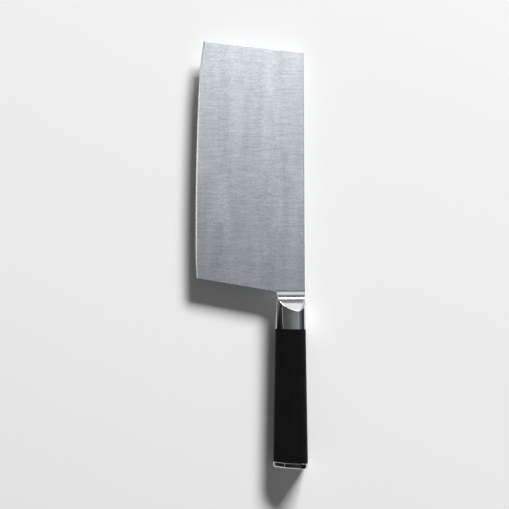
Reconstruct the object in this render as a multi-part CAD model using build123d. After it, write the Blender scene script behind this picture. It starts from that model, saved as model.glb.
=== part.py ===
from build123d import *
import math
import os

# Chinese cleaver lying on its right face, in millimetres.
# +X points to the spine, +Y to the tip, +Z up, out of the left face.
# The origin is the middle of the knife's box in X and Y, at the lowest place of the handle.

# Blade
blade_length = 180.0  # tip corner to the bolster's front
blade_height = 79.0  # cutting edge to spine, at the deepest place
spine_drop = 0.9  # how much lower the spine is at the tip than at the bolster
tip_slant = 8.2  # how far the spine's corner lies behind the tip corner
heel_set = 8.5  # heel corner, ahead of the bolster's front
neck_set = 1.1  # other end of the heel line, behind the bolster's front
spine_thickness = 2.2
edge_thickness = 0.35  # above the bevel, at the deepest place
belly_ahead = 42.0  # bolster's front to the deepest place of the cutting edge
belly_radius = 2320.0
tip_curve_length = 28.0
tip_curve_radius = 213.0
heel_curve_length = 14.5
heel_curve_radius = 168.0
bevel_angle = 11.0  # degrees, each side of the cutting edge
wheel_reach = 3.5  # how far the bevel's grinding wheel reaches over the blade's face
spine_round = 0.3
neck_fillet = 3.2  # between the heel line and the neck
neck_depth = 5.0  # how far the full neck goes into the bolster
neck_inset = 0.2  # neck's belly side, in from the bolster's side
neck_relief = 0.1  # how much lower the neck's faces are than the blade's
stub_length = 36.0  # stub tang, behind the neck
stub_width = 12.0
stub_fillet = 1.5

# Handle, outside
front_width = 20.8
butt_width = 24.8
front_thickness = 15.8
butt_thickness = 18.8
bolster_length = 27.9
grip_length = 96.2
cap_length = 4.0
flank_angle = 21.0  # degrees, slope of the broad flank
crown_radius_share = 0.77  # of half the thickness
nose_radius_share = 0.135  # of the width
ridge_radius = 0.8
front_ridge_share = 0.17  # place of the ridge across the width, from the belly
joint_ridge_share = 0.26
butt_ridge_share = 0.33
scoop_radius = 19.2
scoop_lip = 0.3  # height of the bolster's front over the blade's spine face
joint_chamfer = 0.25
cap_round = 1.1

# Handle, inside
braze_gap = 0.6  # round the stub tang
weld_length = 1.4
weld_crown = 0.4  # how far the weld stands proud of the bar
bar_width = 12.0
bar_thickness = 4.0
bedding_gap = 1.5  # round the tang bar
bore_end_gap = 2.0  # from the tang bar's end to the floor of the slotted bore
tail_diameter = 5.0
tail_clearance = 0.35
tail_beyond_nut = 1.0
bore_web = 6.0  # wood between the slotted bore and the counterbore
washer_diameter = 10.0
washer_thickness = 1.0
nut_width = 8.0  # across flats
nut_height = 4.0
thread_clearance = 0.05
socket_clearance = 1.0  # round the washer and the nut, for a box spanner
spigot_length = 5.0
spigot_gap = 2.0  # from the tail's end to the spigot
glue_thickness = 2.0  # round the spigot

# Cutting
overrun = 1.0  # how far a cutter reaches past what it cuts
snug = 0.01  # places closer than this are one place

# Sizes and places worked out from those
overall_length = blade_length + bolster_length + grip_length + cap_length
overall_width = blade_height + (butt_width - front_width) / 2
tip_y = overall_length / 2
front_y = tip_y - blade_length
joint_y = front_y - bolster_length
butt_y = joint_y - grip_length
edge_x = -overall_width / 2
spine_x = edge_x + blade_height
axis_x = spine_x - front_width / 2
neck_x = axis_x - front_width / 2 + neck_inset
mid_z = butt_thickness / 2
neck_y = front_y - neck_depth
stub_y = neck_y - stub_length
bar_y = stub_y - weld_length
socket_diameter = max(washer_diameter, nut_width / math.cos(math.pi / 6)) + 2 * socket_clearance
spigot_diameter = socket_diameter - 2 * glue_thickness
spigot_y = butt_y + spigot_length
tail_end_y = spigot_y + spigot_gap
nut_end_y = tail_end_y + tail_beyond_nut
nut_y = nut_end_y + nut_height
washer_y = nut_y + washer_thickness
slot_end_y = washer_y + bore_web
bar_end_y = slot_end_y + bore_end_gap


def square_to_handle(y):
    """A plane across the handle at y, with its origin on the handle's axis, facing the butt."""
    return Plane(origin=(axis_x, y, mid_z), x_dir=(1, 0, 0), z_dir=(0, -1, 0))


def along_handle(profile, start_y, stop_y):
    """A profile about the handle's axis, made solid from start_y back to stop_y."""
    return extrude(square_to_handle(start_y) * profile, amount=start_y - stop_y, dir=(0, -1, 0))


def cutting_edge(extra):
    """The cutting edge as three tangent arcs from heel to tip, run on by extra at both ends."""
    belly_y = front_y + belly_ahead
    tip_curve_y = tip_y - tip_curve_length
    heel_curve_y = front_y + heel_set + heel_curve_length
    tip_turn = math.asin((tip_curve_y - belly_y) / belly_radius)
    heel_turn = math.asin((belly_y - heel_curve_y) / belly_radius)
    tip_end = math.asin(math.sin(tip_turn) + (tip_curve_length + extra) / tip_curve_radius)
    heel_end = math.asin(math.sin(heel_turn) + (heel_curve_length + extra) / heel_curve_radius)
    heel_size = math.degrees(heel_end - heel_turn)
    belly = Vector(edge_x, belly_y, mid_z)
    to_heel = JernArc(belly, (0, -1, 0), belly_radius, math.degrees(heel_turn))
    heel_out = JernArc(to_heel @ 1, to_heel % 1, heel_curve_radius, heel_size)
    heel = JernArc(heel_out @ 1, -(heel_out % 1), heel_curve_radius, -heel_size)
    main = JernArc(heel @ 1, heel % 1, belly_radius, -math.degrees(heel_turn + tip_turn))
    tip = JernArc(main @ 1, main % 1, tip_curve_radius, -math.degrees(tip_end - tip_turn))
    return Wire([heel, main, tip])


def blade_blank(rough_x):
    """Flat blank with neck and stub tang, sheared straight at rough_x, outside the cutting edge."""
    edge = cutting_edge(0)
    tip_corner_x = (edge @ 1).X
    heel_corner_x = (edge @ 0).X
    spine_tip_x = spine_x - spine_drop
    tip_slope = tip_slant / (spine_tip_x - tip_corner_x)
    heel_slope = (heel_set + neck_set) / (neck_x - heel_corner_x)
    outline = Polyline(
        (rough_x, front_y + heel_set + (heel_corner_x - rough_x) * heel_slope),
        (rough_x, tip_y + (tip_corner_x - rough_x) * tip_slope),
        (spine_tip_x, tip_y - tip_slant),
        (spine_x, front_y),
        (spine_x, neck_y),
        (axis_x + stub_width / 2, neck_y),
        (axis_x + stub_width / 2, stub_y),
        (axis_x - stub_width / 2, stub_y),
        (axis_x - stub_width / 2, neck_y),
        (neck_x, neck_y),
        (neck_x, front_y - neck_set),
        close=True,
    )
    face = Face(outline)

    def corners(x, y):
        return [v for v in face.vertices() if math.hypot(v.X - x, v.Y - y) < snug]

    neck_corner = corners(neck_x, front_y - neck_set)
    belly_shoulder = corners(axis_x - stub_width / 2, neck_y)
    spine_shoulder = corners(axis_x + stub_width / 2, neck_y)
    face = face.fillet_2d(neck_fillet, neck_corner)
    face = face.fillet_2d(stub_fillet, belly_shoulder + spine_shoulder)
    return extrude(Pos(0, 0, mid_z) * face, amount=spine_thickness / 2, both=True)


def ground_flats(rough_x, start_y, stop_y, half):
    """The wedge between two flat-ground faces, half thick at the spine and thin at the edge."""
    thinning = (spine_thickness - edge_thickness) / 2 / blade_height
    rough_half = half - thinning * (spine_x - rough_x)
    outline = Polyline(
        (spine_x, half), (rough_x, rough_half), (rough_x, -rough_half), (spine_x, -half), close=True
    )
    start = Plane(origin=(0, start_y, mid_z), x_dir=(1, 0, 0), z_dir=(0, -1, 0))
    return extrude(start * Face(outline), amount=start_y - stop_y, dir=(0, -1, 0))


def bevel_waste(rough_x):
    """What grinding the two bevels takes off, as a notched bar swept along the cutting edge."""
    path = cutting_edge(overrun)
    inwards = (path % 0).cross(Vector(0, 0, 1))
    across = Plane(origin=path @ 0, x_dir=inwards, z_dir=path % 0)
    rise = wheel_reach * math.tan(math.radians(bevel_angle))
    outside = (path @ 1).X - rough_x + overrun
    bar = Polyline(
        (wheel_reach, rise),
        (0, 0),
        (wheel_reach, -rise),
        (wheel_reach, -spine_thickness),
        (-outside, -spine_thickness),
        (-outside, spine_thickness),
        (wheel_reach, spine_thickness),
        close=True,
    )
    return sweep(across * Face(bar), path=path)


def neck_waste(rough_x):
    """What sets the neck and the stub tang just below the blade's faces."""
    half = spine_thickness / 2
    stop_y = stub_y - overrun
    kept = ground_flats(rough_x, front_y, stop_y, half - neck_relief)
    return ground_flats(rough_x, front_y, stop_y, half + overrun) - kept


def make_blade():
    rough_x = edge_x - overrun
    flats = ground_flats(rough_x, tip_y + overrun, stub_y - overrun, spine_thickness / 2)
    blade = blade_blank(rough_x) & flats
    blade -= bevel_waste(rough_x)
    spine_edges = [
        edge
        for edge in blade.edges().filter_by(GeomType.LINE)
        if edge.length > blade_length / 2 and (edge @ 0.5).X > axis_x
    ]
    return fillet(spine_edges, spine_round) - neck_waste(rough_x)


def along_flare(y, at_front, at_butt):
    """A size of the flaring handle at y."""
    return at_front + (at_butt - at_front) * (front_y - y) / (front_y - butt_y)


def ridge_share(y):
    if y > joint_y:
        past_front = (front_y - y) / bolster_length
        return front_ridge_share + (joint_ridge_share - front_ridge_share) * past_front
    past_joint = (joint_y - y) / grip_length
    return joint_ridge_share + (butt_ridge_share - joint_ridge_share) * past_joint


def section(y):
    """The handle's outline across y: nose at the belly, ridges on the flanks, crown at the spine."""
    width = along_flare(y, front_width, butt_width)
    half = along_flare(y, front_thickness, butt_thickness) / 2
    crown = crown_radius_share * half
    nose = nose_radius_share * width
    slope = math.radians(flank_angle)
    flank = Vector(math.cos(slope), math.sin(slope))
    crown_start = Vector(width / 2 - crown, half - crown) + Vector(-flank.Y, flank.X) * crown
    ridge_x = ridge_share(y) * width - width / 2
    ridge = crown_start - flank * (crown_start.X - ridge_x) / flank.X
    nose_middle = Vector(nose - width / 2, 0)
    to_ridge = ridge - nose_middle
    turn = math.atan2(to_ridge.Y, to_ridge.X) + math.acos(nose / to_ridge.length)
    nose_end = nose_middle + Vector(math.cos(turn), math.sin(turn)) * nose
    facet = (ridge - nose_end).normalized()
    setback = ridge_radius * math.tan(math.radians(facet.get_angle(flank)) / 2)
    spine_top = Vector(width / 2, half - crown)
    upper = [
        TangentArc(Vector(-width / 2, 0), nose_end, tangent=(0, 1)),
        Line(nose_end, ridge - facet * setback),
        TangentArc(ridge - facet * setback, ridge + flank * setback, tangent=facet),
        Line(ridge + flank * setback, crown_start),
        TangentArc(crown_start, spine_top, tangent=flank),
        Line(spine_top, Vector(width / 2, 0)),
    ]
    lower = [edge.mirror(Plane.XZ) for edge in upper]
    return square_to_handle(y) * Face(Wire(upper + lower))


def tang_hole():
    """The hole through the bolster, wider than the stub tang all round."""
    hole = Rectangle(stub_width + 2 * braze_gap, spine_thickness + 2 * braze_gap)
    return along_handle(hole, neck_y, joint_y)


def make_bolster(blade):
    body = loft([section(front_y), section(joint_y)], ruled=True)
    rear = body.faces().sort_by(Axis.Y)[0]
    body = chamfer(rear.edges(), joint_chamfer)
    scoop = Rot(0, 90, 0) * Cylinder(scoop_radius, butt_width + 2 * overrun)
    scoop_middle = spine_thickness / 2 + scoop_lip + scoop_radius
    body -= Pos(axis_x, front_y, mid_z + scoop_middle) * scoop
    body -= Pos(axis_x, front_y, mid_z - scoop_middle) * scoop
    return body - blade - tang_hole()


def make_braze(blade):
    return tang_hole() - blade


def make_weld():
    """Butt weld between stub tang and bar, its bead crowned on all sides."""
    bead = RectangleRounded(bar_width + 2 * weld_crown, bar_thickness + 2 * weld_crown, weld_crown)
    weld = along_handle(bead, stub_y, bar_y)
    return fillet(weld.edges().filter_by(Plane.XZ), weld_crown)


def make_bar():
    flat = along_handle(Rectangle(bar_width, bar_thickness), bar_y, bar_end_y)
    return flat + along_handle(Circle(tail_diameter / 2), bar_end_y, tail_end_y)


def slotted_bore(start_y):
    slot = SlotOverall(bar_width + 2 * bedding_gap, bar_thickness + 2 * bedding_gap)
    return along_handle(slot, start_y, slot_end_y)


def make_grip():
    body = loft([section(joint_y), section(butt_y)], ruled=True)
    tail_hole = along_handle(Circle(tail_diameter / 2 + tail_clearance), slot_end_y, washer_y)
    socket = along_handle(Circle(socket_diameter / 2), washer_y, butt_y - overrun)
    return body - slotted_bore(joint_y + overrun) - tail_hole - socket


def make_bedding(blade, weld, bar):
    return slotted_bore(joint_y) - blade - weld - bar


def make_washer():
    washer = Circle(washer_diameter / 2) - Circle(tail_diameter / 2 + tail_clearance)
    return along_handle(washer, washer_y, nut_y)


def make_nut():
    nut = RegularPolygon(nut_width / 2, 6, major_radius=False)
    nut -= Circle(tail_diameter / 2 + thread_clearance)
    return along_handle(nut, nut_y, nut_end_y)


def make_cap():
    plate = extrude(section(butt_y), amount=cap_length, dir=(0, -1, 0))
    plate = fillet(plate.faces().sort_by(Axis.Y)[0].edges(), cap_round)
    return plate + along_handle(Circle(spigot_diameter / 2), spigot_y, butt_y)


def make_cap_adhesive():
    ring = Circle(socket_diameter / 2) - Circle(spigot_diameter / 2)
    return along_handle(ring, spigot_y, butt_y)


blade = make_blade()
tang_weld = make_weld()
tang_bar = make_bar()
pieces = {
    "blade": blade,
    "bolster": make_bolster(blade),
    "bolster_braze": make_braze(blade),
    "tang_weld": tang_weld,
    "tang_bar": tang_bar,
    "grip": make_grip(),
    "tang_bedding": make_bedding(blade, tang_weld, tang_bar),
    "tail_washer": make_washer(),
    "tail_nut": make_nut(),
    "end_cap": make_cap(),
    "cap_adhesive": make_cap_adhesive(),
}

os.makedirs("parts", exist_ok=True)
for name, piece in pieces.items():
    export_step(piece, f"parts/{name}.step")
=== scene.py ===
import math

import bmesh
import bpy
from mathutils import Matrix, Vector


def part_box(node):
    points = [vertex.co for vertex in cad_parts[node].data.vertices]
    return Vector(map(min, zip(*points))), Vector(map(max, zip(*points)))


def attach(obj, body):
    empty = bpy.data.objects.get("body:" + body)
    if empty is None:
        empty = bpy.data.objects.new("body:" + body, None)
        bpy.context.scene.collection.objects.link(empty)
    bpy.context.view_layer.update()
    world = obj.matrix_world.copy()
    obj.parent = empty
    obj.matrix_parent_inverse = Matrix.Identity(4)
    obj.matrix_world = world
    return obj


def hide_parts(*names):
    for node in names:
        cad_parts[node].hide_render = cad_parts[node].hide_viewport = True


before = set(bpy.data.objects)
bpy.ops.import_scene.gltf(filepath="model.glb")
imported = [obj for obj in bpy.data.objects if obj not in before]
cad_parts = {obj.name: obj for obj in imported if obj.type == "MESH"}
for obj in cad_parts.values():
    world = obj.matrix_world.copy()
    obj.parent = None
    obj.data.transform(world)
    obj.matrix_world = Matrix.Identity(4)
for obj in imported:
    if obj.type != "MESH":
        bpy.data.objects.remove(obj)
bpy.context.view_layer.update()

# Blade. One sheet of stainless steel, ground flat so that it thins from the spine to the cutting edge,
# brushed across, then given a narrow fine-ground bevel on each side. Behind the heel it narrows to the
# neck and the stub tang, which go into the bolster.
mm = 0.001
hair = 0.01 * mm  # How far the mesh stays inside the solid's two ends.
spare = 1 * mm  # How far raw stock and cutting tools stand past a finished face.
touching = 1e-6  # Places closer than this count as the same.
blade_low, blade_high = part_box("blade")
bolster_low, bolster_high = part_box("bolster")
edge_x, spine_x = blade_low.x + hair, blade_high.x
tip_y, stub_y = blade_high.y - hair, blade_low.y
mid_z = (blade_low.z + blade_high.z) / 2
front_y, joint_y = bolster_high.y, bolster_low.y
front_half_width = 10.4 * mm
axis_x = spine_x - front_half_width
neck_x = axis_x - 10.2 * mm
neck_y = front_y - 5 * mm
heel_round, stub_round = 2.7 * mm, 1.5 * mm
stub_width = 12 * mm
half_stock = 2 * mm
half_spine = 1.1 * mm
thinning = 0.0117
bevel_angle = math.radians(11)
spine_tip = Vector((spine_x - 0.9 * mm, tip_y - 8.2 * mm, mid_z))
spine_foot = Vector((spine_x, front_y, mid_z))
heel_foot = Vector((neck_x, front_y - 1.1 * mm, mid_z))
heel_y = front_y + 8.5 * mm
belly_y, belly_radius = front_y + 42 * mm, 2320 * mm
tip_curve_y, tip_curve_radius = tip_y - 28 * mm, 213 * mm
heel_curve_y, heel_curve_radius = front_y + 23 * mm, 168 * mm


def select(kind, test):
    """Selects what passes the test among the vertices, edges or faces of the mesh in edit mode."""
    bpy.ops.mesh.select_mode(type=kind)
    bpy.ops.mesh.select_all(action="DESELECT")
    mesh = bmesh.from_edit_mesh(bpy.context.edit_object.data)
    for part in {"VERT": mesh.verts, "EDGE": mesh.edges, "FACE": mesh.faces}[kind]:
        if test(part):
            part.select_set(True)
    bmesh.update_edit_mesh(bpy.context.edit_object.data)


def middle(part):
    """The middle of an edge or a face."""
    return sum((v.co for v in part.verts), Vector()) / len(part.verts)


def between(one, other):
    """A test for an edge where a face whose normal passes one test meets one that passes the other."""

    def test(edge):
        normals = [face.normal for face in edge.link_faces]
        return len(normals) == 2 and any(one(a) and other(b) for a, b in (normals, normals[::-1]))

    return test


def cut(place, outwards, clear=True):
    """Grinds off all that lies beyond the plane, or only scores a line there."""
    bpy.ops.mesh.select_all(action="SELECT")
    bpy.ops.mesh.bisect(
        plane_co=place, plane_no=outwards, use_fill=clear, clear_outer=clear, threshold=1e-7
    )


def start_block(name, low, high):
    """A block between two corners, in edit mode, with its object at the origin."""
    bpy.ops.object.select_all(action="DESELECT")
    low, high = Vector(low), Vector(high)
    bpy.ops.mesh.primitive_cube_add(size=1, location=(low + high) / 2, scale=high - low)
    bpy.ops.object.transform_apply(location=True, rotation=False, scale=True)
    bpy.context.object.name = name
    bpy.ops.object.mode_set(mode="EDIT")
    return bpy.context.object


def finish_shape(piece, smooth_under):
    """Joins doubled points and smooths the faces that meet at a small angle, given in degrees."""
    bpy.ops.mesh.select_all(action="SELECT")
    bpy.ops.mesh.remove_doubles(threshold=touching)
    bpy.ops.mesh.normals_make_consistent(inside=False)
    bpy.ops.object.mode_set(mode="OBJECT")
    bpy.ops.object.shade_smooth_by_angle(angle=math.radians(smooth_under))
    weighted = piece.modifiers.new("flat faces stay flat", "WEIGHTED_NORMAL")
    weighted.keep_sharp = True
    bpy.ops.object.modifier_apply(modifier=weighted.name)


def cutting_edge(y):
    """Place and outward direction of the cutting edge at y: a shallow belly, turned in at both ends."""
    x = edge_x + (y - belly_y) ** 2 / 2 / belly_radius
    slope = (y - belly_y) / belly_radius
    for past, radius in (
        (max(0, y - tip_curve_y), tip_curve_radius),
        (min(0, y - heel_curve_y), heel_curve_radius),
    ):
        x += past**2 / 2 * (1 / radius - 1 / belly_radius)
        slope += past * (1 / radius - 1 / belly_radius)
    return Vector((x, y, mid_z)), Vector((-1, slope, 0)).normalized()


blade = start_block(
    "blade_steel",
    (edge_x - spare, neck_y, mid_z - half_stock),
    (spine_x, tip_y + spare, mid_z + half_stock),
)
tip_corner, heel_corner = cutting_edge(tip_y)[0], cutting_edge(heel_y)[0]
for start, end in ((tip_corner, spine_tip), (spine_tip, spine_foot), (heel_foot, heel_corner)):
    cut(start, (end - start).cross((0, 0, -1)))

# The neck and the stub tang are drawn out of the spine's end of the heel.
cut(heel_foot, (1, 0, 0), clear=False)
select("FACE", lambda f: f.normal.y < -0.9 and middle(f).x > neck_x)
bpy.ops.mesh.extrude_region_move()
bpy.ops.transform.resize(value=(1, 0, 1), center_override=(axis_x, neck_y, mid_z))
bpy.ops.mesh.extrude_region_move()
narrowing = stub_width / (spine_x - neck_x)
bpy.ops.transform.resize(value=(narrowing, 1, 1), center_override=(axis_x, neck_y, mid_z))
bpy.ops.mesh.extrude_region_move()
bpy.ops.transform.resize(value=(1, 0, 1), center_override=(axis_x, stub_y, mid_z))
for corner_x, corner_y, reach in (
    (heel_foot.x, heel_foot.y, heel_round),
    (axis_x - stub_width / 2, neck_y, stub_round),
    (axis_x + stub_width / 2, neck_y, stub_round),
):
    corner = Vector((corner_x, corner_y, mid_z))
    select("EDGE", lambda e: (middle(e) - corner).length < 0.2 * mm and e.calc_length() > 2 * mm)
    bpy.ops.mesh.bevel(offset=reach, segments=8, affect="EDGES")
# The round between the heel and the neck is drawn out along the neck.
drawn_out, drawn_from = 1.35, (neck_x, heel_foot.y + 0.3 * mm, mid_z)
select("VERT", lambda v: v.co.x < neck_x + hair and hair < heel_foot.y - v.co.y < 3 * mm)
bpy.ops.transform.resize(value=(1, drawn_out, 1), center_override=drawn_from)

# Grinding: the two flat faces, then the bevels, pass by pass along the cutting edge, and in shorter
# steps where it turns in at the ends. The places of the passes are in mm along the knife.
passes = (*range(-17, -2, 2), *range(2, 126, 9), *range(127, 155, 2))
for side in (1, -1):
    cut((spine_x, front_y, mid_z + side * half_spine), (-thinning, 0, side))
for along in passes:
    place, outwards = cutting_edge(along * mm)
    for side in (1, -1):
        cut(place, outwards * math.sin(bevel_angle) + Vector((0, 0, side * math.cos(bevel_angle))))

# The rims: a small round along the spine and the tip, and only a break of the edge at the heel.
spine_rim, heel_rim = 0.4 * mm, 0.1 * mm
flat_normal_z = 0.995


def is_flat(normal):
    """Whether a normal is that of one of the blade's two flat faces."""
    return abs(normal.z) > flat_normal_z


select("EDGE", between(is_flat, lambda normal: normal.x > 0.9 or normal.y > 0.9))
bpy.ops.mesh.bevel(offset=spine_rim, segments=4, affect="EDGES")
select("EDGE", between(is_flat, lambda normal: normal.y < -0.15 and abs(normal.z) < 0.1))
bpy.ops.mesh.bevel(offset=heel_rim, segments=2, affect="EDGES")

# A flat map of each side, which gives the brushed steel its direction.
bpy.ops.mesh.select_all(action="SELECT")
bpy.ops.uv.cube_project(cube_size=0.1)
finish_shape(blade, 8)


def add_node(tree, kind, inputs, **settings):
    """Adds a shader node to tree. Each input is given a value, or the socket that feeds it."""
    node = tree.nodes.new("ShaderNode" + kind)
    for name, value in settings.items():
        setattr(node, name, value)
    for name, value in inputs.items():
        if isinstance(value, bpy.types.NodeSocket):
            tree.links.new(value, node.inputs[name])
        else:
            node.inputs[name].default_value = value
    return node


def new_group(name, inputs, output, build):
    """A node group with float inputs besides its Vector, and one output, which build returns."""
    group = bpy.data.node_groups.new(name, "ShaderNodeTree")
    group.interface.new_socket("Vector", in_out="INPUT", socket_type="NodeSocketVector")
    for wanted in inputs:
        group.interface.new_socket(wanted, in_out="INPUT", socket_type="NodeSocketFloat")
    group.interface.new_socket(output, in_out="OUTPUT", socket_type="NodeSocketFloat")
    result = build(group, group.nodes.new("NodeGroupInput").outputs)
    group.links.new(result, group.nodes.new("NodeGroupOutput").inputs[output])
    return group


def place_group(tree, group, inputs):
    """Places a node group in a material with its own values, and returns its output."""
    return add_node(tree, "Group", inputs, node_tree=group).outputs[0]


def ramp(tree, factor, *stops):
    """Turns a factor into a colour or a value that changes over (position, colour) stops."""
    node = add_node(tree, "ValToRGB", {"Fac": factor})
    elements = node.color_ramp.elements
    while len(elements) < len(stops):
        elements.new(0.5)
    for element, (position, colour) in zip(elements, stops):
        element.position = position
        element.color = (*colour, 1) if isinstance(colour, tuple) else (colour, colour, colour, 1)
    return node.outputs["Color"]


def spread(tree, value, low, high):
    """Draws the stretch from low to high out to 0 to 1."""
    inputs = {"Value": value, "From Min": low, "From Max": high}
    return add_node(tree, "MapRange", inputs).outputs["Result"]


def mix(tree, factor, first, second):
    """Mixes two values."""
    return add_node(tree, "Mix", {"Factor": factor, 2: first, 3: second}).outputs[0]


def mix_colours(tree, factor, first, second, blend="MIX"):
    """Mixes, multiplies or adds two colours."""
    inputs = {"Factor": factor, 6: first, 7: second}
    return add_node(tree, "Mix", inputs, data_type="RGBA", blend_type=blend).outputs[2]


def feed(tree, shader, maps):
    """Feeds the shader's inputs, given by name, from sockets."""
    for name, socket in maps.items():
        tree.links.new(socket, shader.inputs[name])


def new_material(name, **constants):
    """A material with one Principled shader, its constants set on its own sockets."""
    material = bpy.data.materials.new(name)
    material.use_nodes = True
    shader = material.node_tree.nodes["Principled BSDF"]
    for constant, value in constants.items():
        shader.inputs[constant.replace("_", " ").title().replace("Ior", "IOR")].default_value = value
    coordinates = material.node_tree.nodes.new("ShaderNodeTexCoord").outputs["Object"]
    return material, material.node_tree, shader, coordinates


def build_lines(group, given):
    """Grinding lines along X: noise drawn out to their length, squeezed to their pitch and a little wavy."""
    sizes = {"X": given["Length"], "Y": given["Pitch"], "Z": given["Pitch"]}
    size = add_node(group, "CombineXYZ", sizes).outputs[0]
    drawn = add_node(group, "VectorMath", {0: given["Vector"], 1: size}, operation="DIVIDE")
    wave = add_node(group, "TexNoise", {"Vector": given["Vector"], "Scale": 40, "Detail": 1})
    swing = add_node(group, "Math", {0: wave.outputs["Fac"], 1: 2}, operation="MULTIPLY")
    aside = add_node(group, "CombineXYZ", {"Y": swing.outputs[0]})
    wavy = add_node(group, "VectorMath", {0: drawn.outputs[0], 1: aside.outputs[0]})
    noise = add_node(group, "TexNoise", {"Vector": wavy.outputs[0], "Scale": 1, "Detail": 2})
    return spread(group, noise.outputs["Fac"], 0.3, 0.7)


grinding_lines = new_group("grinding_lines", ("Pitch", "Length"), "Lines", build_lines)

satin, tree, shader, place = new_material(
    "cross_brushed_steel", metallic=1, anisotropic=0.5, anisotropic_rotation=0.25
)
fine = place_group(tree, grinding_lines, {"Vector": place, "Pitch": 0.3 * mm, "Length": 8 * mm})
short = place_group(tree, grinding_lines, {"Vector": place, "Pitch": 0.4 * mm, "Length": 1.1 * mm})
coarse = place_group(tree, grinding_lines, {"Vector": place, "Pitch": 1.3 * mm, "Length": 18 * mm})
broad = place_group(tree, grinding_lines, {"Vector": place, "Pitch": 60 * mm, "Length": 9 * mm})
lines = mix(tree, 0.42, short, fine)
bands = mix(tree, 0.6, coarse, broad)
tone = mix(tree, 0.32, lines, bands)
colour = ramp(tree, tone, (0.14, (0.382, 0.426, 0.475)), (0.8, (0.915, 0.965, 1)))
roughness = ramp(tree, lines, (0.1, 0.3), (0.9, 0.28))
relief = {"Height": lines, "Strength": 0.25, "Distance": 0.02 * mm}
bump = add_node(tree, "Bump", relief).outputs["Normal"]
feed(tree, shader, {"Base Color": colour, "Roughness": roughness, "Normal": bump})
tangent = add_node(tree, "Tangent", {}, direction_type="UV_MAP").outputs["Tangent"]
feed(tree, shader, {"Tangent": tangent})

honed, tree, shader, place = new_material("fine_ground_steel", metallic=1)
lines = place_group(tree, grinding_lines, {"Vector": place, "Pitch": 0.3 * mm, "Length": 4 * mm})
colour = ramp(tree, lines, (0.1, (0.74, 0.76, 0.78)), (0.9, (0.88, 0.9, 0.92)))
roughness = ramp(tree, lines, (0.1, 0.24), (0.9, 0.16))
feed(tree, shader, {"Base Color": colour, "Roughness": roughness})

blade.data.materials.append(satin)
blade.data.materials.append(honed)
bpy.ops.object.mode_set(mode="EDIT")
select("FACE", lambda f: 0.2 < abs(f.normal.z) < flat_normal_z)
blade.active_material_index = 1
bpy.ops.object.material_slot_assign()
bpy.ops.object.mode_set(mode="OBJECT")
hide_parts("blade")
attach(blade, "root")

# Stub tang and tang bar, butt-welded end to end. The bar is drawn stainless with a turned tail; the
# weld bead stands a little proud of it, and its heat left straw and blue colours.
bare, tree, shader, place = new_material("drawn_steel", metallic=1)
turned = add_node(tree, "Mapping", {"Vector": place, "Rotation": (0, 0, math.pi / 2)}).outputs[0]
lines = place_group(tree, grinding_lines, {"Vector": turned, "Pitch": 0.5 * mm, "Length": 30 * mm})
colour = ramp(tree, lines, (0.1, (0.42, 0.42, 0.42)), (0.9, (0.56, 0.56, 0.57)))
roughness = ramp(tree, lines, (0.1, 0.5), (0.9, 0.38))
feed(tree, shader, {"Base Color": colour, "Roughness": roughness})

tinted, tree, shader, place = new_material("heat_tinted_weld", metallic=1)
heat = add_node(tree, "TexNoise", {"Vector": place, "Scale": 220, "Detail": 3}).outputs["Fac"]
straw, violet, blue = (0.5, 0.37, 0.2), (0.3, 0.26, 0.34), (0.2, 0.27, 0.42)
colour = ramp(tree, heat, (0.35, straw), (0.5, violet), (0.65, blue))
roughness = ramp(tree, heat, (0.3, 0.3), (0.7, 0.5))
feed(tree, shader, {"Base Color": colour, "Roughness": roughness})


def finish_node(name, material):
    """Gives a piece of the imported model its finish."""
    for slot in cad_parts[name].material_slots:
        slot.material = material


finish_node("tang_bar", bare)
finish_node("tang_weld", tinted)

# Bolster. Cast stainless collar, slotted for the blade's neck, ground hollow at the front on both
# flanks so that it runs down to the blade, and mirror-polished all over.
butt_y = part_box("grip")[0].y
front_half_height = 7.9 * mm
widening, heightening = 2 * mm, 1.5 * mm
crown_slope, upper_slope, flank_slope = (math.tan(math.radians(a)) for a in (6, 17, 18))
belly_facet = 2.5 * mm
ridge_round = 0.45 * mm
scoop_radius, scoop_floor = 22 * mm, half_spine + 0.2 * mm
scoop_x = axis_x + 5.8 * mm
scoop_left, scoop_right, scoop_depth = 16.2 * mm, 4.3 * mm, 15.2 * mm
scoop_rim = 0.12 * mm
lip_power, lip_slope = 1.11, math.radians(50)
hole_half_width, hole_half_height = 6.6 * mm, 1.7 * mm


def section_at(y):
    """The handle's section at y before rounding: half width, half height, (x, height) of its corners.

    From the belly to the spine these are the belly's own corner and the end of its narrow facet, the
    ridge, two bends of the flank, and the crown.
    """
    y = max(y, butt_y)
    flare = (front_y - y) / (front_y - butt_y)
    half_width = front_half_width + widening * flare
    half_height = front_half_height + heightening * flare
    in_bolster = min(1, (front_y - y) / (front_y - joint_y))
    in_grip = max(0, (joint_y - y) / (joint_y - butt_y))
    foot_share = 0.12 - 0.03 * in_grip
    belly_share = 0.4 - 0.05 * in_bolster - 0.08 * in_grip
    ridge_share = 0.17 + 0.09 * in_bolster + 0.07 * in_grip
    crown_share = 1.037
    belly_x = belly_facet - half_width
    ridge_x = half_width * (2 * ridge_share - 1)
    flank_x, upper_x = -0.1 * half_width, 0.45 * half_width
    crown_height = crown_share * half_height
    upper_height = crown_height - (half_width - upper_x) * crown_slope
    flank_height = upper_height - (upper_x - flank_x) * upper_slope
    ridge_height = flank_height - (flank_x - ridge_x) * flank_slope
    corners = (
        (-half_width, foot_share * half_height),
        (belly_x, belly_share * half_height),
        (ridge_x, ridge_height),
        (flank_x, flank_height),
        (upper_x, upper_height),
        (half_width, crown_height),
    )
    return half_width, half_height, corners


def stretch(wide, high, y):
    """Scales what is selected about the handle's axis at y."""
    bpy.ops.transform.resize(value=(wide, 1, high), center_override=(axis_x, y, mid_z))


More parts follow.
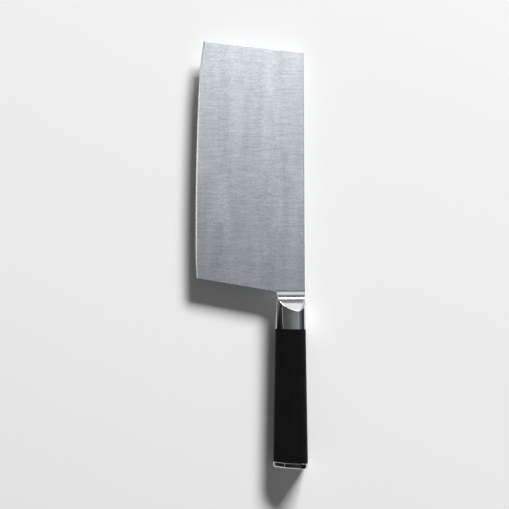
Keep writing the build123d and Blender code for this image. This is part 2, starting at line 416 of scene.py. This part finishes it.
def select_long_edges(x):
    """Selects the edges that run along the handle this far from its axis."""

    def runs_here(edge):
        a, b = (v.co for v in edge.verts)
        runs_along = abs(a.y - b.y) > 0.9 * (a - b).length
        return runs_along and abs((a.x + b.x) / 2 - axis_x - x) < touching

    select("EDGE", runs_here)


def handle_block(name, front, rear, scores):
    """A length of the handle, shaped to its rear section, rounded, and drawn in to its front section.

    Lines scored round it cut its long faces into shorter ones.
    """
    half_width, half_height, corners = section_at(rear)
    block = start_block(
        name,
        (axis_x - half_width, rear, mid_z - half_height),
        (axis_x + half_width, front, mid_z + half_height),
    )
    for x, _ in corners[1:5]:
        cut((axis_x + x, rear, mid_z), (1, 0, 0), clear=False)
    for x, height in corners:
        select("VERT", lambda v: abs(v.co.x - axis_x - x) < touching)
        stretch(1, height / half_height, rear)
    crown_round, belly_round = 0.42 * half_height, 0.97 * corners[0][1]
    for x, reach in ((half_width, crown_round), (-half_width, belly_round)):
        select_long_edges(x)
        bpy.ops.mesh.bevel(offset=reach, segments=14, affect="EDGES")

    # The front face gets its own section, and then the ridge its round.
    front_width, front_height, front_corners = section_at(front)
    select("VERT", lambda v: abs(v.co.y - front) < touching)
    stretch(front_width / half_width, front_height / half_height, front)
    for (x, height), (front_x, front_z) in zip(corners[1:5], front_corners[1:5]):
        drawn_x, drawn_height = x * front_width / half_width, height * front_height / half_height
        select(
            "VERT",
            lambda v: v.co.y > front - touching and abs(v.co.x - axis_x - drawn_x) < touching,
        )
        bpy.ops.transform.translate(value=(front_x - drawn_x, 0, 0))
        stretch(1, front_z / drawn_height, front)
    select_long_edges((corners[2][0] + front_corners[2][0]) / 2)
    bpy.ops.mesh.bevel(offset=ridge_round, segments=3, affect="EDGES")
    for score in range(1, scores):
        cut((axis_x, front + (rear - front) * score / scores, mid_z), (0, 1, 0), clear=False)
    return block


def inwards_part(share, reach):
    """One part of the way inwards from a point of the scoop's lip, whose outline is a superellipse."""
    return share ** (2 - lip_power) / reach


def carve(piece, tool, operation="DIFFERENCE"):
    """Takes the tool's shape out of the piece, or adds it."""
    bpy.ops.object.mode_set(mode="OBJECT")
    carving = piece.modifiers.new("carving", "BOOLEAN")
    carving.object, carving.operation = tool, operation
    bpy.context.view_layer.objects.active = piece
    bpy.ops.object.modifier_apply(modifier=carving.name)
    bpy.data.objects.remove(tool)
    piece.select_set(True)


bolster = handle_block("bolster_steel", front_y, joint_y, scores=9)
bpy.ops.object.mode_set(mode="OBJECT")
lip_turns = range(4, 150, 4)
for side in (1, -1):
    bpy.ops.mesh.primitive_cylinder_add(
        vertices=144,
        radius=scoop_radius,
        depth=30 * mm,
        location=(axis_x, front_y, mid_z + side * (scoop_floor + scoop_radius)),
        rotation=(0, math.pi / 2, 0),
    )
    bpy.ops.object.transform_apply(location=True, rotation=True)
    scoop = bpy.context.object
    bpy.ops.object.mode_set(mode="EDIT")
    for turn in lip_turns:
        # A point of the lip's foot, the way to the inside of the scoop from there, and its floor's slope.
        across, along = math.cos(math.radians(turn)), math.sin(math.radians(turn))
        reach = math.copysign(scoop_left if turn < 90 else scoop_right, across)
        x, depth = reach * abs(across) ** lip_power, scoop_depth * along**lip_power
        inside = Vector((inwards_part(abs(across), reach), inwards_part(along, scoop_depth)))
        inside.normalize()
        slope = math.asin(depth / scoop_radius)
        floor_normal = Vector((0, math.sin(slope), math.cos(slope)))
        inwards = Vector((inside.x, inside.y * math.cos(slope), -inside.y * math.sin(slope)))
        normal = floor_normal * math.cos(lip_slope) + inwards * math.sin(lip_slope)
        height = scoop_floor + scoop_radius * (1 - math.cos(slope))
        place = (scoop_x - x, front_y - depth, mid_z + side * height)
        cut(place, (-normal.x, -normal.y, -side * normal.z))
    carve(bolster, scoop)
neck_slot = start_block(
    "neck_slot",
    (neck_x, neck_y, mid_z - half_stock),
    (spine_x + spare, front_y + spare, mid_z + half_stock),
)
for side in (1, -1):
    cut((spine_x, front_y, mid_z + side * half_spine), (-thinning, 0, side))
carve(bolster, neck_slot)
tang_hole = start_block(
    "tang_hole",
    (axis_x - hole_half_width, joint_y - spare, mid_z - hole_half_height),
    (axis_x + hole_half_width, neck_y + spare, mid_z + hole_half_height),
)
carve(bolster, tang_hole)


def is_scoop_floor(normal):
    """Whether a normal is that of a scoop's cylindrical floor."""
    return abs(normal.x) < 0.01 and 0.03 < normal.y < 0.95


bpy.ops.object.mode_set(mode="EDIT")
select("EDGE", between(is_scoop_floor, lambda normal: abs(normal.x) > 0.02))
bpy.ops.mesh.bevel(offset=scoop_rim, segments=2, affect="EDGES")
finish_shape(bolster, 20)


def build_smudges(group, given):
    """Soft patches left by wiping and handling."""
    inputs = {"Vector": given["Vector"], "Scale": given["Scale"], "Detail": 4}
    cloud = add_node(group, "TexNoise", inputs).outputs["Fac"]
    return spread(group, cloud, 0.35, 0.65)


smudges = new_group("smudges", ("Scale",), "Patches", build_smudges)

mirror, tree, shader, place = new_material("mirror_polished_steel", metallic=1)
patches = place_group(tree, smudges, {"Vector": place, "Scale": 90})
lines = place_group(tree, grinding_lines, {"Vector": place, "Pitch": 0.2 * mm, "Length": 6 * mm})
colour = ramp(tree, patches, (0, (0.74, 0.75, 0.765)), (1, (0.8, 0.81, 0.825)))
roughness = ramp(tree, mix(tree, 0.4, patches, lines), (0.1, 0.03), (0.9, 0.08))
feed(tree, shader, {"Base Color": colour, "Roughness": roughness})
bolster.data.materials.clear()
bolster.data.materials.append(mirror)
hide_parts("bolster")
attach(bolster, "root")

# Brazing metal. A yellow silver-bearing alloy, run into the bolster's tang hole round the stub tang, which
# holds the bolster on the blade.
braze, tree, shader, place = new_material("brazing_alloy", metallic=1)
patches = place_group(tree, smudges, {"Vector": place, "Scale": 300})
colour = ramp(tree, patches, (0, (0.62, 0.47, 0.24)), (1, (0.75, 0.62, 0.36)))
roughness = ramp(tree, patches, (0, 0.35), (1, 0.5))
feed(tree, shader, {"Base Color": colour, "Roughness": roughness})
finish_node("bolster_braze", braze)

# Bedding. Black-pigmented epoxy with fine bubbles, poured into the grip's slotted bore round the tang bar
# and set hard there.
epoxy, tree, shader, place = new_material("black_epoxy", coat_weight=0.3)
bubbles = add_node(tree, "TexVoronoi", {"Vector": place, "Scale": 900}).outputs["Distance"]
colour = ramp(tree, bubbles, (0.1, (0.075, 0.073, 0.07)), (0.35, (0.045, 0.045, 0.046)))
roughness = ramp(tree, bubbles, (0.1, 0.45), (0.4, 0.3))
feed(tree, shader, {"Base Color": colour, "Roughness": roughness})
finish_node("tang_bedding", epoxy)

# Grip. Resin-impregnated black wood, milled to the bolster's section and flaring towards the butt,
# satin-sanded along the grain. A slotted bore takes the tang, and a counterbore its washer and nut.
def axis_cylinder(radius, front, rear):
    """A cylinder on the handle's axis, between two places along it."""
    bpy.ops.object.mode_set(mode="OBJECT")
    bpy.ops.mesh.primitive_cylinder_add(
        vertices=64,
        radius=radius,
        depth=front - rear,
        location=(axis_x, (front + rear) / 2, mid_z),
        rotation=(math.pi / 2, 0, 0),
    )
    return bpy.context.object


def join_end_faces():
    """Makes each end of a handle block one face again, where lines were scored over it."""
    for end in (1, -1):
        select("FACE", lambda f: f.normal.y * end > 0.9)
        bpy.ops.mesh.dissolve_faces()


def round_ends(ends, reach, segments):
    """Rounds the rims of a handle block's ends: 1 is the end towards the blade, -1 the other."""
    select(
        "EDGE",
        between(
            lambda normal: any(normal.y * end > 0.9 for end in ends),
            lambda normal: abs(normal.y) < 0.5,
        ),
    )
    bpy.ops.mesh.bevel(offset=reach, segments=segments, affect="EDGES")


grip_rim = 0.15 * mm
grip = handle_block("grip_wood", joint_y, butt_y, scores=12)
join_end_faces()
round_ends((1, -1), grip_rim, segments=2)
finish_shape(grip, 15)
bedding_low, bedding_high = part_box("tang_bedding")
socket_low, socket_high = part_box("cap_adhesive")
washer_low, washer_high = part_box("tail_washer")
tail_radius, socket_radius = 2.85 * mm, (socket_high.x - socket_low.x) / 2
slot_round = 3.4 * mm
slot = start_block(
    "tang_slot", bedding_low, (bedding_high.x, bedding_high.y + spare, bedding_high.z)
)
select("EDGE", lambda e: e.calc_length() > 20 * mm)
bpy.ops.mesh.bevel(offset=slot_round, segments=8, affect="EDGES")
carve(grip, slot)
carve(grip, axis_cylinder(tail_radius, bedding_low.y + spare, washer_low.y))
carve(grip, axis_cylinder(socket_radius, washer_high.y, butt_y - spare))

black, tree, shader, place = new_material("black_wood", specular_ior_level=0.12)
turned = add_node(tree, "Mapping", {"Vector": place, "Rotation": (0, 0, math.pi / 2)}).outputs[0]
grain = place_group(tree, grinding_lines, {"Vector": turned, "Pitch": 0.6 * mm, "Length": 14 * mm})
pores = place_group(tree, grinding_lines, {"Vector": turned, "Pitch": 0.25 * mm, "Length": 3 * mm})
patches = place_group(tree, smudges, {"Vector": place, "Scale": 60})
colour = ramp(tree, grain, (0.1, (0.0045, 0.0048, 0.0048)), (0.9, (0.0075, 0.0078, 0.0076)))
roughness = ramp(tree, mix(tree, 0.5, patches, grain), (0.1, 0.34), (0.9, 0.46))
relief = {"Height": pores, "Strength": 0.3, "Distance": 0.02 * mm}
bump = add_node(tree, "Bump", relief).outputs["Normal"]
feed(tree, shader, {"Base Color": colour, "Roughness": roughness, "Normal": bump})
grip.data.materials.clear()
grip.data.materials.append(black)
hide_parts("grip")
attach(grip, "root")

# Washer and nut. Plain steel, on the tang's threaded tail at the bottom of the counterbore, where they
# draw the grip up against the bolster.
finish_node("tail_washer", bare)
finish_node("tail_nut", bare)

# End cap. A stainless plate with a turned spigot that is glued into the counterbore with a ring of
# epoxy; its rear edge is rounded over and it is polished with the bolster.
finish_node("cap_adhesive", epoxy)
cap_low, cap_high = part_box("end_cap")
rear_rim, front_rim, spigot_radius = 1.1 * mm, 0.3 * mm, 4 * mm
cap = handle_block("end_cap_steel", butt_y, cap_low.y, scores=1)
join_end_faces()
round_ends((-1,), rear_rim, segments=6)
round_ends((1,), front_rim, segments=2)
finish_shape(cap, 20)
carve(cap, axis_cylinder(spigot_radius, cap_high.y, butt_y - spare), "UNION")
cap.data.materials.clear()
cap.data.materials.append(mirror)
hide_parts("end_cap")
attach(cap, "root")

# Floor. One plain pale plane that the cleaver lies on. It is clear when looked at from below, so that the
# underside can be seen.
bpy.ops.object.select_all(action="DESELECT")
bpy.ops.mesh.primitive_plane_add(size=8)
floor = bpy.context.object
floor.name = "floor"
pale, tree, shader, _ = new_material("pale_floor", roughness=0.9, base_color=(0.9, 0.9, 0.9, 1))
clear = add_node(tree, "BsdfTransparent", {})
behind = add_node(tree, "NewGeometry", {}).outputs["Backfacing"]
either = add_node(tree, "MixShader", {0: behind, 1: shader.outputs[0], 2: clear.outputs[0]})
tree.links.new(either.outputs[0], tree.nodes["Material Output"].inputs["Surface"])
floor.data.materials.append(pale)


# Light. One large soft lamp from the upper right, and four soft cards that only the polished and brushed
# faces mirror: beyond the tip, over the blade's right side, over the cutting edge, and over the ridge.
def soft_box(name, direction, distance, width, height, power, card=True):
    """An area lamp at a distance from the knife, facing it. A card shows only in reflections."""
    lamp = bpy.data.lights.new(name, "AREA")
    lamp.shape, lamp.size, lamp.size_y, lamp.energy = "RECTANGLE", width, height, power
    box = bpy.data.objects.new(name, lamp)
    box.location = Vector(direction).normalized() * distance
    box.rotation_euler = Vector(direction).to_track_quat("Z", "Y").to_euler()
    box.visible_camera = False
    box.visible_diffuse = not card
    bpy.context.scene.collection.objects.link(box)


soft_box("key_lamp", (0.374, 0.841, 0.391), 6.0, 2.4, 1.0, 755, card=False)
soft_box("tip_card", (0, 0.462, 0.887), 2.0, 1.0, 0.15, 4.1)
soft_box("blade_card", (0.24, 0.15, 1), 2.0, 0.3, 0.3, 1.0)
soft_box("edge_card", (-0.497, 0.2, 1), 1.2, 0.57, 0.14, 0.32)
soft_box("ridge_card", (-0.77, 0, 0.64), 1.5, 1.2, 0.06, 0.35)

# Room. What the steel mirrors is a strip overhead that is dark behind the camera and bright beyond the tip,
# a dim wall on either side, and pale surroundings. What lights the rest is an even, weak glow. Lengthwise
# and crosswise run from 0 to 1, with 0.5 straight above, 1 beyond the tip and 1 on the spine's side.
world = bpy.data.worlds.new("studio")
bpy.context.scene.world = world
world.use_nodes = True
tree = world.node_tree
direction = add_node(tree, "TexCoord", {}).outputs["Generated"]
towards = add_node(tree, "SeparateXYZ", {0: direction}).outputs
lean = add_node(tree, "Math", {0: towards["Y"], 1: towards["Z"]}, operation="ARCTAN2").outputs[0]
lengthwise = spread(tree, lean, -math.pi / 2, math.pi / 2)
crosswise = spread(tree, towards["X"], -1, 1)
strip_lengthwise = ramp(
    tree,
    lengthwise,
    (0.465, 0),
    (0.485, 0.06),
    (0.51, 0.14),
    (0.537, 0.78),
    (0.58, 0.92),
    (0.6, 0.17),
    (0.69, 0.2),
    (0.755, 0.37),
    (0.775, 0.95),
)
strip_crosswise = ramp(tree, crosswise, (0.4, 0), (0.46, 1), (0.56, 1), (0.62, 0))
strip = mix_colours(tree, 1, strip_lengthwise, strip_crosswise, "MULTIPLY")
walls_lengthwise = ramp(
    tree,
    lengthwise,
    (0.445, 0.12),
    (0.463, 1),
    (0.5, 1),
    (0.55, 0.12),
    (0.68, 0.12),
    (0.8, 1),
)
walls_crosswise = ramp(
    tree,
    crosswise,
    (0.06, (0.045, 0.042, 0.04)),
    (0.19, (0.066, 0.058, 0.05)),
    (0.213, (0.09, 0.08, 0.07)),
    (0.235, (0.125, 0.12, 0.115)),
    (0.27, (0.21, 0.22, 0.235)),
    (0.32, (0.31, 0.33, 0.36)),
    (0.4, (0.1, 0.108, 0.118)),
    (0.43, (0.05, 0.05, 0.055)),
    (0.78, (0.03, 0.03, 0.03)),
    (0.95, (0.06, 0.06, 0.06)),
)
walls = mix_colours(tree, 1, walls_lengthwise, walls_crosswise, "MULTIPLY")
corners_lengthwise = ramp(tree, lengthwise, (0.26, 0.6), (0.36, 0), (0.62, 0), (0.75, 0.6))
corners_crosswise = ramp(
    tree, crosswise, (0.1, 1), (0.34, 0.7), (0.42, 0), (0.62, 0), (0.7, 0.7), (0.9, 1)
)
corners = mix_colours(tree, 1, corners_lengthwise, corners_crosswise, "MULTIPLY")
horizon_upwards = ramp(tree, towards["Z"], (0.18, 0.32), (0.34, 0))
horizon_crosswise = ramp(tree, crosswise, (0.07, 0.7), (0.3, 1), (0.7, 1), (0.93, 0.3))
horizon = mix_colours(tree, 1, horizon_upwards, horizon_crosswise, "MULTIPLY")
room = strip
for part in (walls, corners, horizon):
    room = mix_colours(tree, 1, room, part, "ADD")
ray = add_node(tree, "LightPath", {}).outputs
glow, backdrop = (0.115, 0.115, 0.115, 1), (0.8, 0.8, 0.8, 1)
lit = mix_colours(tree, ray["Is Glossy Ray"], glow, room)
seen = mix_colours(tree, ray["Is Camera Ray"], lit, backdrop)
feed(tree, tree.nodes["Background"], {"Color": seen})

# Camera. Straight above the knife and looking down, as in the photograph.
camera_height = 750 * mm
picture_middle_x, picture_middle_y = 2.1 * mm, -0.3 * mm
view = bpy.data.cameras.new("camera")
view.lens, view.sensor_width = 73.3, 36
camera = bpy.data.objects.new("camera", view)
camera.location = (picture_middle_x, picture_middle_y, mid_z + camera_height)
bpy.context.scene.collection.objects.link(camera)
bpy.context.scene.camera = camera
bpy.context.scene.view_settings.view_transform = "Standard"
